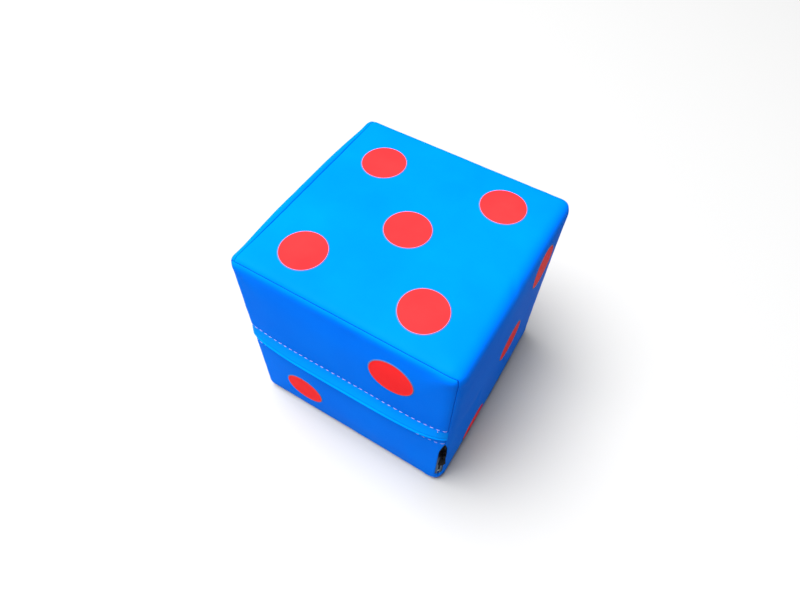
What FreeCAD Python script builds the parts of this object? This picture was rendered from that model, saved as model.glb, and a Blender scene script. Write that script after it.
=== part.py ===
import FreeCAD
import Part

import math
import os

# Giant soft yard die: a foam cube in a zip-on cover of coated fabric.
# Frame: origin at the middle of the base, +Z up, -Y the front (zip) face, +X the right face.
# All sizes are in millimetres.

# ---- the finished die ----
edge = 200.0            # outside edge length
edge_round = 11.0       # outside radius of every edge
mid = edge / 2          # height of the die's centre, and half its width

# ---- cover ----
skin = 0.8              # thickness of the coated fabric
seam_gap = 0.3          # width of the groove along a seam
allowance = 8.0         # depth of the seam allowances that stand inside the cover
clearance = 0.3         # space left around soft pieces
join_overlap = 0.1      # how far one shape runs into the next before they are fused
overshoot = 1.0         # how far a cutter runs past what it cuts

# ---- pips: heat-welded discs, flush in shallow pockets ----
pip_radius = 19.8
pip_thickness = 0.35
pip_gap = 0.15          # radial gap between a disc and its pocket

# ---- zip ----
zip_height = 100.0      # height of the horizontal leg's centre line
tape_gap = 0.7          # from the chain's centre line to each tape's edge
tape_width = 13.8       # width of each tape
tape_inset = 1.0        # from the die's outer surface to the tape
tape_thickness = 0.5
tape_start = -87.0      # left end of the horizontal leg
coil_gap = 0.8          # from the centre line to each coil
coil_width = 1.8
coil_thickness = 1.4
coil_seat = 0.05        # space between a tape and its coil
bay_half = 10.6         # half width, across the corner edge, of the space for the zip
bay_margin = 1.0        # from the tapes' ends to the ends of that space
tape_bottom = 13.0      # lower end of the upright tapes
coil_bottom = 22.0      # lower end of the upright coils
stop_length = 2.6

# ---- slot in the front right edge, where the upright leg shows ----
slot_half = 3.5
slot_bottom = 16.5
slot_shoulder = 72.0    # where the straight sides end
slot_tip = 86.0         # top of the pointed end

# ---- zip flap ----
flap_half_length = 88.0
flap_hinge_height = 110.2
flap_drop = 14.0        # from the hinge line to the folded edge
flap_tilt = 5.0         # degrees that the flap leans outwards
flap_slit = 0.2         # space between its two layers
panel_gap_low = 3.0     # from the zip's centre line down to the lower panel's edge

# ---- stitching ----
stitch_pitch = 5.4
stitch_length = 3.7
stitch_width = 0.7
stitch_thickness = 0.35
stitch_row_half = 86.0
upper_row_height = 112.6
lower_row_height = 88.0
thread_width = 0.6
thread_thickness = 0.4
thread_depth = 2.6      # from the skin's inner face to the seam thread

# ---- slider and pull ----
slider_low = 62.5       # lower end of the slider
slider_length = 10.0
slider_half = 3.1       # half width of the top plate
slider_nose_half = 2.3
plate_thickness = 1.0
base_half = 3.5         # half width of the bottom plate
flange_thickness = 0.5
post_half = 0.35
post_length = 3.0
bridge_half = 1.0
bridge_foot = 1.0       # length of each foot of the bridge
bridge_window = 5.0
bridge_start = 2.0      # from the slider's lower end to the bridge
bridge_thickness = 0.85
bridge_edge_round = 0.6
slider_waist = 6.0      # from the slider's lower end to where its plates narrow
flange_gap = 0.4        # from the side flanges to the tapes
bar_radius = 0.6        # radius of the pull's cross bar
bar_gap = 0.35          # running space around the bar
arm_inner = 1.4
arm_outer = 2.2
eye_length = 6.2
pull_length = 22.0
pull_end_radius = 3.2

SQRT2 = math.sqrt(2)
tolerance = 0.01
AXIS_X = FreeCAD.Vector(1, 0, 0)
AXIS_Y = FreeCAD.Vector(0, 1, 0)
AXIS_Z = FreeCAD.Vector(0, 0, 1)
ORIGIN = FreeCAD.Vector(0, 0, 0)

os.makedirs("parts", exist_ok=True)


def save(shape, name):
    """Write one sub-part, without the seams that fusing leaves."""
    shape = shape.removeSplitter()
    shape.exportStep("parts/" + name + ".step")
    return shape


def box(x0, x1, y0, y1, z0, z1):
    return Part.makeBox(x1 - x0, y1 - y0, z1 - z0, FreeCAD.Vector(x0, y0, z0))


def block(inset):
    """The die's rounded outer form, drawn in by inset on every side."""
    size = edge - 2 * inset
    corner = FreeCAD.Vector(inset - mid, inset - mid, inset)
    cube = Part.makeBox(size, size, size, corner)
    return cube.makeFillet(edge_round - inset, cube.Edges)


def layer(outer_inset, inner_inset):
    """A hollow layer of the die between two insets."""
    return block(outer_inset).cut(block(inner_inset))


def pyramid(side, offset):
    """Wedge between the diagonal planes of the front (-1) or back (+1) face.
    offset moves its four planes inwards, square to themselves."""
    shift = offset * SQRT2
    reach = edge
    half = reach - shift
    apex = FreeCAD.Vector(0, side * shift, mid)
    corners = []
    for sx, sz in ((-1, -1), (1, -1), (1, 1), (-1, 1)):
        corners.append(FreeCAD.Vector(sx * half, side * reach, mid + sz * half))
    faces = [Part.Face(Part.makePolygon(corners + corners[:1]))]
    for i in range(4):
        triangle = [apex, corners[i], corners[(i + 1) % 4], apex]
        faces.append(Part.Face(Part.makePolygon(triangle)))
    solid = Part.Solid(Part.Shell(faces))
    if solid.Volume < 0:
        solid.reverse()
    return solid


def to_corner(shape):
    """Stand a shape on the front right edge. Before the move +X points out of the edge from the
    centre of its rounding, and +Y runs across it from the front face to the right face."""
    centre = mid - edge_round
    shape.rotate(ORIGIN, AXIS_Z, -45)
    shape.translate(FreeCAD.Vector(centre, -centre, 0))
    return shape


def corner_box(out0, out1, across0, across1, z0, z1):
    return to_corner(box(out0, out1, across0, across1, z0, z1))


# ---------------------------------------------------------------- cover panels
half_gap = seam_gap / 2
pocket_radius = pip_radius + pip_gap
cover_skin = layer(0, skin)
allowance_layer = layer(skin - join_overlap, skin + allowance)
panel_edge_low = zip_height - panel_gap_low
flap_thickness = 2 * skin + flap_slit
flap_axis_y = -(mid - tape_inset + clearance + flap_thickness / 2)
panel_edge_high = flap_hinge_height + flap_thickness / 2 + clearance
tape_top = zip_height + tape_gap + tape_width
bay_top = tape_top + bay_margin
bay_bottom = tape_bottom - bay_margin


def band(side, near, far):
    """Layer on the diagonal planes of a face, from near to far inside them."""
    return pyramid(side, near).cut(pyramid(side, far))


def slab(near, far, out0, out1):
    """Plate beside the diagonal plane of the top left edge. near and far are measured
    towards the top face, out0 and out1 outwards from the centre of the rounding."""
    plate = box(out0, out1, -mid, mid, near, far)
    plate.rotate(ORIGIN, AXIS_Y, 225)
    plate.translate(FreeCAD.Vector(edge_round - mid, 0, edge - edge_round))
    return plate


def slot_cutter():
    """Slot through both skins: a round lower end, straight sides and a pointed upper end."""
    rise = slot_tip - slot_shoulder
    radius = (slot_half ** 2 + rise ** 2) / (2 * slot_half)
    sweep = math.asin(rise / radius) / 2
    bulge = slot_half - radius + radius * math.cos(sweep)
    height = slot_shoulder + radius * math.sin(sweep)
    low = slot_bottom + slot_half

    def at(across, z):
        return FreeCAD.Vector(0, across, z)

    edges = [
        Part.Arc(at(-slot_half, low), at(0, slot_bottom), at(slot_half, low)).toShape(),
        Part.LineSegment(at(slot_half, low), at(slot_half, slot_shoulder)).toShape(),
        Part.Arc(at(slot_half, slot_shoulder), at(bulge, height), at(0, slot_tip)).toShape(),
        Part.Arc(at(0, slot_tip), at(-bulge, height), at(-slot_half, slot_shoulder)).toShape(),
        Part.LineSegment(at(-slot_half, slot_shoulder), at(-slot_half, low)).toShape(),
    ]
    face = Part.Face(Part.Wire(edges))
    return to_corner(face.extrude(FreeCAD.Vector(2 * edge_round, 0, 0)))


def pip_disc(place, normal, radius, thickness):
    return Part.makeCylinder(radius, thickness, place - normal * thickness, normal)


# Pip centres, by face: across and up the face, from the middle of the face.
# Opposite corners of one face sit a little unevenly, as a stretched cover lets them.
pips = {
    "top": {
        "front_left": (-54.0, -63.0),
        "front_right": (50.0, -63.0),
        "centre": (2.0, -4.0),
        "rear_left": (-54.0, 51.0),
        "rear_right": (54.0, 58.0),
    },
    "front": {
        "upper_right": (47.0, 60.0),
        "lower_left": (-45.0, -54.0),
    },
    "right": {
        "rear_high": (47.0, 68.0),
        "centre": (5.0, 12.0),
        "front_low": (-43.0, -66.0),
    },
    "left": {
        "rear_high": (50.0, 54.0),
        "front_high": (-50.0, 54.0),
        "rear_low": (50.0, -54.0),
        "front_low": (-50.0, -54.0),
    },
    "back": {
        "left_high": (48.0, 56.0),
        "left_middle": (48.0, 0.0),
        "left_low": (48.0, -56.0),
        "right_high": (-48.0, 56.0),
        "right_middle": (-48.0, 0.0),
        "right_low": (-48.0, -56.0),
    },
    "bottom": {
        "centre": (0.0, 0.0),
    },
}


def pip_frame(face, across, up):
    """Centre of a pip on the die's surface, and the outward normal there."""
    frames = {
        "top": ((across, up, edge), (0, 0, 1)),
        "bottom": ((across, up, 0), (0, 0, -1)),
        "front": ((across, -mid, mid + up), (0, -1, 0)),
        "back": ((across, mid, mid + up), (0, 1, 0)),
        "right": ((mid, across, mid + up), (1, 0, 0)),
        "left": ((-mid, across, mid + up), (-1, 0, 0)),
    }
    place, normal = frames[face]
    return FreeCAD.Vector(*place), FreeCAD.Vector(*normal)


pockets = []
for face_name, centres in pips.items():
    for pip_name, (across, up) in centres.items():
        place, normal = pip_frame(face_name, across, up)
        pockets.append(pip_disc(place, normal, pocket_radius, pip_thickness))
        disc = pip_disc(place, normal, pip_radius, pip_thickness)
        save(disc, "pip_" + face_name + "_" + pip_name)
all_pockets = Part.makeCompound(pockets)

# The space that the upright leg of the zip needs in the seam allowances.
bay = corner_box(-edge_round, 2 * edge_round, -bay_half, bay_half, bay_bottom, bay_top)
bay = bay.common(block(skin))
slot = slot_cutter()

# Wrap strip: top, right, bottom and left faces in one length, folded at three edges and
# closed along the top left edge.
wrap = cover_skin.cut(pyramid(-1, -half_gap)).cut(pyramid(1, -half_gap))
for side in (-1, 1):
    wrap = wrap.fuse(allowance_layer.common(band(side, -half_gap - skin, -half_gap)))
closing_out0 = edge_round - skin - allowance
closing_out1 = edge_round - skin / 2
for near, far in ((half_gap, half_gap + skin), (-half_gap - skin, -half_gap)):
    plate = slab(near, far, closing_out0, closing_out1).common(block(skin / 2))
    plate = plate.cut(pyramid(-1, -half_gap)).cut(pyramid(1, -half_gap))
    wrap = wrap.fuse(plate)
wrap = wrap.cut(slab(-half_gap, half_gap, closing_out0 - overshoot, 2 * edge_round))
wrap = wrap.cut(bay).cut(slot).cut(all_pockets)
save(wrap, "wrap_strip")

# Back and front panels: a skin with a seam allowance along each of its four edges.
square_panels = {}
for side in (-1, 1):
    panel = cover_skin.common(pyramid(side, half_gap))
    panel = panel.fuse(allowance_layer.common(band(side, half_gap, half_gap + skin)))
    square_panels[side] = panel.cut(all_pockets)
save(square_panels[1], "back_panel")

# The front panel is cut along the zip. Its halves meet beyond the flap's ends, and stand apart
# behind the flap.
window_half = flap_half_length + clearance
window = box(-window_half, window_half, -mid, 0, panel_edge_low, panel_edge_high)
front = square_panels[-1].cut(bay).cut(slot).cut(window)
upper_half = box(-mid, mid, -mid, 0, zip_height + half_gap, edge)
lower_half = box(-mid, mid, -mid, 0, 0, zip_height - half_gap)
save(front.common(upper_half), "front_upper_panel")
save(front.common(lower_half), "front_lower_panel")

# ---------------------------------------------------------------- seam threads
thread_layer = layer(skin + thread_depth, skin + thread_depth + thread_width)
thread_near = half_gap + skin
thread_far = thread_near + thread_thickness
zip_line = box(-mid, mid, -mid, 0, zip_height - clearance, zip_height + clearance)
closing_zone = slab(-thread_near, thread_near, closing_out0, edge_round)
for side, name in ((-1, "seam_thread_front"), (1, "seam_thread_back")):
    inner = thread_layer.common(band(side, thread_near, thread_far))
    outer = thread_layer.common(band(side, -thread_far, -thread_near)).cut(closing_zone)
    if side < 0:
        inner = inner.cut(zip_line).cut(bay)
        outer = outer.cut(bay)
    save(Part.makeCompound(inner.Solids + outer.Solids), name)

thread_out1 = edge_round - skin - thread_depth
threads = []
for near, far in ((thread_near, thread_far), (-thread_far, -thread_near)):
    strip = slab(near, far, thread_out1 - thread_width, thread_out1)
    threads.append(strip.cut(pyramid(-1, -thread_far)).cut(pyramid(1, -thread_far)))
save(Part.makeCompound([s for t in threads for s in t.Solids]), "seam_thread_closing")

# ---------------------------------------------------------------- zip tapes and coils
def zone(near, far, sign, bottom, margin=0.0):
    """Space of one side of the zip, from near to far off its centre line: along the front face
    and down the front right edge. sign is +1 for the upper and right side."""
    low = zip_height + min(sign * near, sign * far) - margin
    high = zip_height + max(sign * near, sign * far) + margin
    across = min(far, bay_half - clearance)
    inner = min(sign * near, sign * across) - margin
    outer = max(sign * near, sign * across) + margin
    level = box(tape_start - margin, mid, -mid, -mid / 2, low, high)
    level = level.cut(corner_box(-mid, mid, outer, mid, low, high))
    upright = corner_box(0, 2 * edge_round, inner, outer, bottom - margin, high)
    return level.fuse(upright)


tape_layer = layer(tape_inset, tape_inset + tape_thickness)
coil_inset = tape_inset + tape_thickness + coil_seat
coil_layer = layer(coil_inset, coil_inset + coil_thickness)
for sign, name in ((1, "outer"), (-1, "inner")):
    tape = tape_layer.common(zone(tape_gap, tape_gap + tape_width, sign, tape_bottom))
    save(tape, "zip_tape_" + name)
    coil = coil_layer.common(zone(coil_gap, coil_gap + coil_width, sign, coil_bottom))
    save(coil, "zip_coil_" + name)

# End stops: one clip below the upright coils, one beside the left end of the level coils.
stop_half = coil_gap + coil_width
stop_out = math.sqrt((edge_round - coil_inset) ** 2 - stop_half ** 2) - coil_seat
low_stop = corner_box(stop_out - coil_thickness, stop_out, -stop_half, stop_half,
                      coil_bottom - stop_length, coil_bottom)
save(low_stop, "zip_stop_low")
stop_y = -(mid - coil_inset)
left_stop = box(tape_start - stop_length, tape_start, stop_y, stop_y + coil_thickness,
                zip_height - stop_half, zip_height + stop_half)
save(left_stop, "zip_stop_left")

# ---------------------------------------------------------------- slider and pull
# Heights outwards from the centre of the edge's rounding.
top_out = edge_round - tape_inset + clearance
top_face = top_out + plate_thickness
coil_low_out = math.sqrt((edge_round - coil_inset - coil_thickness) ** 2 - stop_half ** 2)
base_face = coil_low_out - clearance
base_out = base_face - plate_thickness
tape_low_out = math.sqrt((edge_round - tape_inset - tape_thickness) ** 2 - base_half ** 2)
flange_out = tape_low_out - flange_gap
bar_out = top_face + bar_gap + bar_radius
bridge_under = bar_out + bar_radius + bar_gap
bridge_top = bridge_under + bridge_thickness
slider_high = slider_low + slider_length


def slider_plate(half_low, half_high, out0, out1):
    """Six-sided plate of the slider, narrower at its upper end."""
    waist = slider_low + slider_waist
    outline = [
        FreeCAD.Vector(out0, -half_low, slider_low),
        FreeCAD.Vector(out0, half_low, slider_low),
        FreeCAD.Vector(out0, half_low, waist),
        FreeCAD.Vector(out0, half_high, slider_high),
        FreeCAD.Vector(out0, -half_high, slider_high),
        FreeCAD.Vector(out0, -half_low, waist),
    ]
    face = Part.Face(Part.makePolygon(outline + outline[:1]))
    return face.extrude(FreeCAD.Vector(out1 - out0, 0, 0))


slider = slider_plate(slider_half, slider_nose_half, top_out, top_face)
slider = slider.fuse(box(base_out, base_face, -base_half, base_half, slider_low, slider_high))
for side in (-1, 1):
    wall_in = side * (base_half - flange_thickness)
    wall_out = side * base_half
    wall = box(base_face, flange_out, min(wall_in, wall_out), max(wall_in, wall_out),
               slider_low, slider_high)
    slider = slider.fuse(wall)
slider = slider.fuse(box(base_face, top_out, -post_half, post_half,
                         slider_low, slider_low + post_length))
bridge_low = slider_low + bridge_start
bridge_high = bridge_low + bridge_window + 2 * bridge_foot
bridge = box(top_face, bridge_top, -bridge_half, bridge_half, bridge_low, bridge_high)
bridge = bridge.cut(box(top_face, bridge_under, -bridge_half, bridge_half,
                        bridge_low + bridge_foot, bridge_high - bridge_foot))
top_edges = [e for e in bridge.Edges if e.CenterOfMass.x > bridge_top - tolerance]
bridge_edges = [e for e in top_edges if abs(e.CenterOfMass.y) < tolerance]
bridge = bridge.makeFillet(bridge_edge_round, bridge_edges)
slider = slider.fuse(bridge)
save(to_corner(slider), "zip_slider")

# Pull: a cross bar under the bridge, two arms round it and a drop-shaped tab.
bar_height = bridge_low + bridge_foot + bar_gap + bar_radius
bar = Part.makeCylinder(bar_radius, 2 * arm_outer,
                        FreeCAD.Vector(bar_out, -arm_outer, bar_height), AXIS_Y)
pull = bar
for side in (-1, 1):
    inner = side * arm_inner
    outer = side * arm_outer
    pull = pull.fuse(box(bar_out - bar_radius, bar_out + bar_radius, min(inner, outer),
                         max(inner, outer), bar_height - eye_length, bar_height))
    pull = pull.fuse(Part.makeCylinder(bar_radius, arm_outer - arm_inner,
                                       FreeCAD.Vector(bar_out, min(inner, outer), bar_height),
                                       AXIS_Y))
eye_low = bar_height - eye_length
end_centre = bar_height - pull_length + pull_end_radius
tab_out = bar_out - bar_radius


def tab_point(across, z):
    return FreeCAD.Vector(tab_out, across, z)


tab_edges = [
    Part.LineSegment(tab_point(-arm_outer, eye_low), tab_point(arm_outer, eye_low)).toShape(),
    Part.LineSegment(tab_point(arm_outer, eye_low),
                     tab_point(pull_end_radius, end_centre)).toShape(),
    Part.Arc(tab_point(pull_end_radius, end_centre),
             tab_point(0, end_centre - pull_end_radius),
             tab_point(-pull_end_radius, end_centre)).toShape(),
    Part.LineSegment(tab_point(-pull_end_radius, end_centre),
                     tab_point(-arm_outer, eye_low)).toShape(),
]
tab = Part.Face(Part.Wire(tab_edges)).extrude(FreeCAD.Vector(2 * bar_radius, 0, 0))
save(to_corner(pull.fuse(tab)), "zip_pull")

# ---------------------------------------------------------------- zip flap
# One strip folded double: drawn hanging straight from its hinge line, then leant outwards.
half_flap = flap_thickness / 2
flap = box(-flap_half_length, flap_half_length, -half_flap, half_flap,
           half_flap - flap_drop, 0)
for height in (0, half_flap - flap_drop):
    flap = flap.fuse(Part.makeCylinder(half_flap, 2 * flap_half_length,
                                       FreeCAD.Vector(-flap_half_length, 0, height), AXIS_X))
flap = flap.cut(box(-flap_half_length, flap_half_length, -flap_slit / 2, flap_slit / 2,
                    half_flap - flap_drop, -half_flap))
flap.rotate(ORIGIN, AXIS_X, -flap_tilt)
flap.translate(FreeCAD.Vector(0, flap_axis_y, flap_hinge_height))
save(flap, "zip_flap")

# ---------------------------------------------------------------- top stitching
stitch_count = int(2 * stitch_row_half / stitch_pitch)
for height, name in ((upper_row_height, "topstitch_upper"), (lower_row_height, "topstitch_lower")):
    stitches = []
    for i in range(stitch_count):
        centre = (i - (stitch_count - 1) / 2) * stitch_pitch
        stitches.append(box(centre - stitch_length / 2, centre + stitch_length / 2,
                            -mid - stitch_thickness, -mid,
                            height - stitch_width / 2, height + stitch_width / 2))
    save(Part.makeCompound(stitches), name)

# ---------------------------------------------------------------- foam core
# Plain foam cube, yielding round the seam allowances and the zip.
foam = block(skin + clearance)
slot_far = thread_far + clearance
allowance_slots = layer(skin, skin + allowance + clearance)
for side in (-1, 1):
    foam = foam.cut(allowance_slots.common(band(side, -slot_far, slot_far)))
foam = foam.cut(slab(-slot_far, slot_far, closing_out0 - clearance, 2 * edge_round))
tape_relief = layer(skin, tape_inset + tape_thickness + clearance)
coil_relief = layer(skin, coil_inset + coil_thickness + clearance)
for sign in (1, -1):
    foam = foam.cut(tape_relief.common(
        zone(tape_gap, tape_gap + tape_width, sign, tape_bottom, clearance + tape_gap)))
    foam = foam.cut(coil_relief.common(
        zone(coil_gap, coil_gap + coil_width, sign, coil_bottom - stop_length,
             clearance + coil_gap)))
foam = foam.cut(box(tape_start - stop_length - clearance, tape_start, -mid,
                    stop_y + coil_thickness + clearance,
                    zip_height - stop_half - clearance, zip_height + stop_half + clearance))
foam = foam.cut(corner_box(base_out - clearance, 2 * edge_round,
                           -base_half - clearance, base_half + clearance,
                           slot_bottom, slot_tip))
save(foam, "foam_core")
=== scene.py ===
import math

import bpy
import numpy as np
from mathutils import Matrix, Vector, noise
from mathutils.bvhtree import BVHTree
from mathutils.kdtree import KDTree


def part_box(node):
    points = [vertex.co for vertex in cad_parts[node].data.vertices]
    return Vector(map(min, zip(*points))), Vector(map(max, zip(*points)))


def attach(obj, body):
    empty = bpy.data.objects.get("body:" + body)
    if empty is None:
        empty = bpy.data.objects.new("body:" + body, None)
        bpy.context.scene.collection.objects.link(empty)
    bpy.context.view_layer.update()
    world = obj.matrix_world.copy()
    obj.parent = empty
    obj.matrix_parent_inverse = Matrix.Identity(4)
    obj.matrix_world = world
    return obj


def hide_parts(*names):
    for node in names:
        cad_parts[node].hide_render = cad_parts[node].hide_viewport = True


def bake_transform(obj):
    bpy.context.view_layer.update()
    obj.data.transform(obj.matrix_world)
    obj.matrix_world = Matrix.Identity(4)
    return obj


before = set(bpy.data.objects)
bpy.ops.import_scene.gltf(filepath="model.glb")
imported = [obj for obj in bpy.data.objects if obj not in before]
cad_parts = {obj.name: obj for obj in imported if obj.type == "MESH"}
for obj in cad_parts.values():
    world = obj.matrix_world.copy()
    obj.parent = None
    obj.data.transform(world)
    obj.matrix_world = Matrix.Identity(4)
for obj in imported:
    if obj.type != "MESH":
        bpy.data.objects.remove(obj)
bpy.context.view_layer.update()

# ---------------------------------------------------------------- Camera
# A hand-held camera close above the die, a little to the right of its zip face and
# leaning slightly to one side.
camera_place = Vector((0.1461, -0.2689, 0.5346))
camera_azimuth = math.radians(29.28)
camera_elevation = math.radians(54.80)
camera_roll = math.radians(-2.31)
up = Vector((0, 0, 1))
level = math.cos(camera_elevation)
look = Vector((-math.sin(camera_azimuth) * level, math.cos(camera_azimuth) * level,
               -math.sin(camera_elevation)))
across = look.cross(up).normalized()
across = across * math.cos(camera_roll) + look.cross(across) * math.sin(camera_roll)
upwards = across.cross(look)
camera_data = bpy.data.cameras.new("camera")
camera_data.sensor_width = 36.0
camera_data.lens = 26.01
camera = bpy.data.objects.new("camera", camera_data)
bpy.context.scene.collection.objects.link(camera)
camera.matrix_world = Matrix.Translation(camera_place) @ Matrix(
    (across, upwards, -look)).transposed().to_4x4()
bpy.context.scene.camera = camera

# ---------------------------------------------------------------- Studio
# A plain pale floor under one wide soft lamp, high above and a little to the front left.
# The sky gives almost no light and only shows pale behind the floor.
floor_half = 3.0
lamp_place = Vector((-1.2, -0.75, 5.0))
lamp_size = 4.4
lamp_power = 830.0
bpy.context.scene.view_settings.view_transform = "Standard"
bpy.ops.mesh.primitive_plane_add(size=2 * floor_half, location=(0, 0, 0))
floor = bpy.context.object
floor.name = "floor"
floor_paint = bpy.data.materials.new("floor_paint")
floor_paint.use_nodes = True
floor_shader = floor_paint.node_tree.nodes["Principled BSDF"]
floor_shader.inputs["Base Color"].default_value = (0.41, 0.41, 0.41, 1)
floor_shader.inputs["Roughness"].default_value = 0.9
floor_shader.inputs["Specular IOR Level"].default_value = 0.1
floor.data.materials.append(floor_paint)
lamp_data = bpy.data.lights.new("lamp", "AREA")
lamp_data.shape = "DISK"
lamp_data.size = lamp_size
lamp_data.energy = lamp_power
lamp = bpy.data.objects.new("lamp", lamp_data)
bpy.context.scene.collection.objects.link(lamp)
aim = (Vector((0, 0, 0.1)) - lamp_place).to_track_quat("-Z", "Y")
lamp.matrix_world = Matrix.Translation(lamp_place) @ aim.to_matrix().to_4x4()
sky = bpy.data.worlds.new("sky")
sky.use_nodes = True
sky.node_tree.nodes["Background"].inputs["Color"].default_value = (1, 1, 1, 1)
sky_seen = sky.node_tree.nodes.new("ShaderNodeLightPath")
sky_share = sky.node_tree.nodes.new("ShaderNodeMapRange")
sky_share.inputs["To Min"].default_value = 0.04
sky_share.inputs["To Max"].default_value = 0.93
sky.node_tree.links.new(sky_seen.outputs["Is Camera Ray"], sky_share.inputs["Value"])
sky.node_tree.links.new(sky_share.outputs["Result"],
                        sky.node_tree.nodes["Background"].inputs["Strength"])
bpy.context.scene.world = sky


# ---------------------------------------------------------------- Foam core
# One cube of soft open-cell foam, a little larger than the cover, so that it fills the
# cover and rounds its faces. Its form is also what every panel is cut and laid to.
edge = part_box("wrap_strip")[1].z
mid = edge / 2
centre = np.array((0.0, 0.0, mid))
seam_round = 0.0092         # radius of a sewn edge
fold_round = 0.0110         # radius of a folded edge, and of the edge with the zip
round_steps = 6
face_cuts = 39
foam_pressure = 4.0
swell_height = 0.0022       # how far the middles of the faces stand out
sole = 0.0004               # height of the face that the die stands on
select_modes = {"VERT": (True, False, False), "EDGE": (False, True, False),
                "FACE": (False, False, True)}


def activate(piece):
    bpy.ops.object.select_all(action="DESELECT")
    piece.select_set(True)
    bpy.context.view_layer.objects.active = piece


def pick(piece, kind, chosen):
    """Opens a piece in edit mode with only the chosen vertices, edges or faces selected."""
    activate(piece)
    bpy.context.tool_settings.mesh_select_mode = select_modes[kind]
    bpy.ops.object.mode_set(mode="EDIT")
    bpy.ops.mesh.select_all(action="DESELECT")
    bpy.ops.object.mode_set(mode="OBJECT")
    items = {"VERT": piece.data.vertices, "EDGE": piece.data.edges,
             "FACE": piece.data.polygons}[kind]
    items.foreach_set("select", np.asarray(chosen, bool))
    bpy.ops.object.mode_set(mode="EDIT")


def pick_all(piece):
    pick(piece, "FACE", np.ones(len(piece.data.polygons), bool))


def leave():
    bpy.ops.object.mode_set(mode="OBJECT")


def join(pieces):
    """Joins the pieces into the first of them."""
    activate(pieces[0])
    for piece in pieces[1:]:
        piece.select_set(True)
    if len(pieces) > 1:
        bpy.ops.object.join()


def finish_with(piece, kind, **settings):
    """Adds one modifier and applies it."""
    activate(piece)
    modifier = piece.modifiers.new(kind.lower(), kind)
    for key, value in settings.items():
        setattr(modifier, key, value)
    bpy.ops.object.modifier_apply(modifier=modifier.name)


def read(items, key, kind, width):
    """One value or vector of every vertex, edge, face or corner of a mesh."""
    values = np.empty(len(items) * width, kind)
    items.foreach_get(key, values)
    return values.reshape(-1, width)


def points(piece):
    return read(piece.data.vertices, "co", float, 3)


def normals(piece):
    return read(piece.data.vertex_normals, "vector", float, 3)


def ends_of(piece):
    """The two vertices of every edge."""
    return read(piece.data.edges, "vertices", int, 2)


def set_points(piece, values):
    piece.data.vertices.foreach_set("co", np.asarray(values, np.float32).ravel())
    piece.data.update()


def middles(piece, kind):
    """Middle of every edge or face."""
    if kind == "EDGE":
        return points(piece)[ends_of(piece)].mean(1)
    return read(piece.data.polygons, "center", float, 3)


def share_between(value, start, full):
    """0 up to the start, 1 from the full value on, and straight between."""
    return np.clip((value - start) / (full - start), 0, 1)


def side_of(place):
    """Names the panel that each place on the die belongs to: 0 wrap, 1 back, -1 front."""
    x, y, z = (place - centre).T
    widest = np.maximum(abs(x), abs(z))
    return (y > widest).astype(int) - (-y > widest).astype(int)


bpy.ops.mesh.primitive_cube_add(size=edge, location=(0, 0, mid))
form = bpy.context.object
form.name = "form"
bpy.ops.object.transform_apply(location=True, rotation=True, scale=True)
x, y, z = (middles(form, "EDGE") - centre).T
runs_back = abs(y) < mid / 2
closing = runs_back & (x < 0) & (z > 0)
zip_edge = (x > mid / 2) & (y < -mid / 2)
share = np.where((runs_back & ~closing) | zip_edge, 1.0, seam_round / fold_round)
edge_share = form.data.attributes.new("bevel_weight_edge", "FLOAT", "EDGE")
edge_share.data.foreach_set("value", share.astype(np.float32))
finish_with(form, "BEVEL", width=fold_round, segments=round_steps, limit_method="WEIGHT")
first, last = points(form)[ends_of(form)].transpose(1, 0, 2)
lengths = np.linalg.norm(first - last, axis=1)
pick(form, "EDGE", lengths > mid)
bpy.ops.mesh.subdivide(number_cuts=face_cuts)
leave()

# The sewing lines: between the front or back panel and the wrap strip, and along the top
# left edge, where the two ends of the strip meet.
closing_angle = math.radians(75)    # from the left face up: this seam lies near the top face
seam_middle = mid - seam_round


def past_closing(place):
    """Distance from the closing seam's plane, positive on the top face's side."""
    out = -place[:, 0] - seam_middle
    up_there = place[:, 2] - mid - seam_middle
    return up_there * math.cos(closing_angle) - out * math.sin(closing_angle)


face_middles = middles(form, "FACE")
panel_of_face = side_of(face_middles)
x, y, z = (face_middles - centre).T
top_left = (x < 0) & (z > 0)
above = np.where(top_left, past_closing(face_middles) > 0, z > abs(x))
leftward = np.where(top_left, ~above, -x >= abs(z))
zone = np.where(panel_of_face == 0, 2 + above + 2 * leftward, panel_of_face)
zones_beside = [[] for _ in form.data.edges]
for face in form.data.polygons:
    for key in face.loop_indices:
        zones_beside[form.data.loops[key].edge_index].append(int(zone[face.index]))
sewn_pairs = ({3, 4}, {-1, 2}, {-1, 3}, {-1, 4}, {1, 2}, {1, 3}, {1, 4})
for line, beside in zip(form.data.edges, zones_beside):
    line.use_seam = set(beside) in sewn_pairs
held = form.vertex_groups.new(name="held")
for line in form.data.edges:
    if line.use_seam:
        held.add(list(line.vertices), 1.0, "REPLACE")


def swell(piece):
    """Blows the cover out from inside, as the squeezed foam does, held at its seams."""
    before = points(piece)
    activate(piece)
    cloth = piece.modifiers.new("cover", "CLOTH")
    for key, value in {"quality": 6, "mass": 0.4, "tension_stiffness": 25,
                       "compression_stiffness": 25, "shear_stiffness": 8,
                       "bending_stiffness": 2, "use_pressure": True,
                       "uniform_pressure_force": foam_pressure,
                       "vertex_group_mass": "held"}.items():
        setattr(cloth.settings, key, value)
    cloth.settings.effector_weights.gravity = 0
    for step in range(1, 21):
        bpy.context.scene.frame_set(step)
    bpy.ops.object.modifier_apply(modifier=cloth.name)
    bpy.context.scene.frame_set(1)
    moved = points(piece) - before
    furthest = np.linalg.norm(moved, axis=1).max()
    set_points(piece, before + moved * min(1.0, swell_height / furthest))


swell(form)
finish_with(form, "SUBSURF", levels=1, render_levels=1)


def by_zip_edge(place):
    """Which places lie round the upright edge with the zip."""
    return (place[:, 0] > mid / 2) & (place[:, 1] < -mid / 2)


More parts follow.
